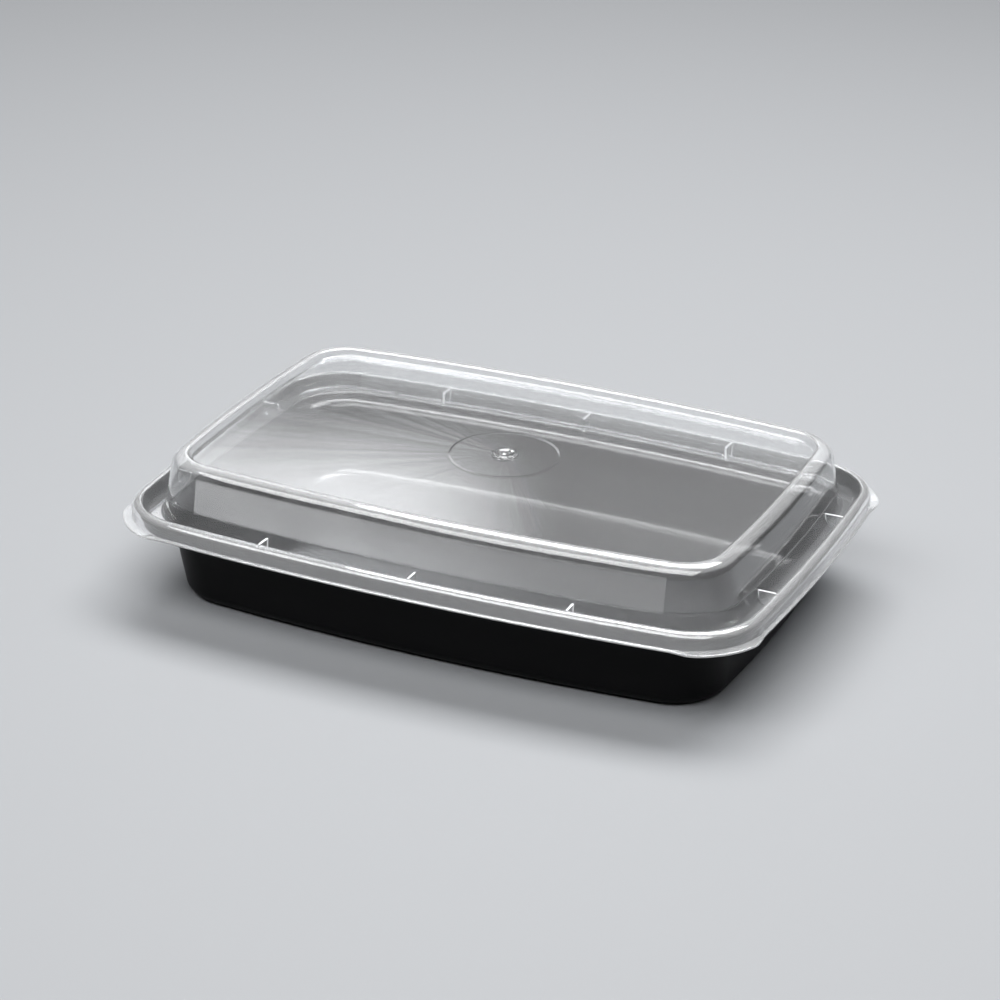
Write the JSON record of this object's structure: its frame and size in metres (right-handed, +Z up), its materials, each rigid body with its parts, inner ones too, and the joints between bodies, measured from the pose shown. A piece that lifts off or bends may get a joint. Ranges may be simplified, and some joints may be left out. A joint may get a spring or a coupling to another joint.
{
  "type": "takeaway meal container",
  "caption": "Shallow black rectangular takeaway tray with round corners, closed by a clear domed lid with a recessed top panel, a ribbed groove and small corner tabs.",
  "frame": {"origin": "middle of the flat underside of the tray, on the surface it stands on", "axes": "+X along the long side, +Y along the short side, +Z up through the lid"},
  "size_m": [0.222, 0.1524, 0.0494],
  "materials": {
    "tray": "satin moulded black polypropylene",
    "lid": "clear, slightly milky moulded polypropylene"
  },
  "bodies": {
    "root": {"tray": "tray", "lid": "lid"}
  },
  "joints": []
}
